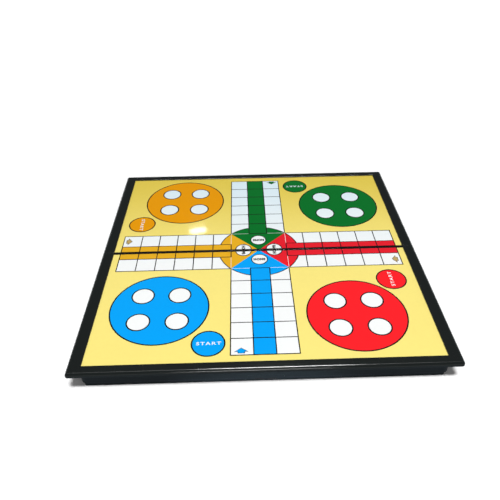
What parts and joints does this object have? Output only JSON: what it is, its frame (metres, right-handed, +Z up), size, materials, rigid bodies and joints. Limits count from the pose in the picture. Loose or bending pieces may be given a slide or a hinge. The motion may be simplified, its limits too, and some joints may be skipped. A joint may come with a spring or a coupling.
{
  "type": "folding ludo board box",
  "caption": "Folding travel board game box: two hinged plastic trays whose outer faces form a square ludo board and which close face to face to hold the pieces.",
  "frame": {"origin": "middle of the open board at the height of the table it lies on, under the middle of the seam", "axes": "+X to the right along the seam, +Y from the front half to the rear half, +Z up out of the playing surface"},
  "size_m": [0.251, 0.2484, 0.0184],
  "materials": {
    "black_plastic": "black moulded plastic with a satin gloss",
    "steel_sheet": "thin plain steel sheet",
    "laminated_print": "printed sheet under a clear glossy film",
    "pin_steel": "drawn steel wire"
  },
  "bodies": {
    "rear_half": {"rear_tray": "black_plastic", "rear_rim_frame": "black_plastic", "rear_steel_sheet": "steel_sheet", "rear_printed_sheet": "laminated_print", "left_hinge_pin": "pin_steel", "right_hinge_pin": "pin_steel"},
    "front_half": {"front_tray": "black_plastic", "front_rim_frame": "black_plastic", "front_steel_sheet": "steel_sheet", "front_printed_sheet": "laminated_print"}
  },
  "joints": [
    {"name": "fold_hinge", "type": "hinge", "parent": "rear_half", "child": "front_half", "pos_m": [0, 0, 0.0018], "axis": [1, 0, 0], "range_deg": [0, 180]}
  ]
}
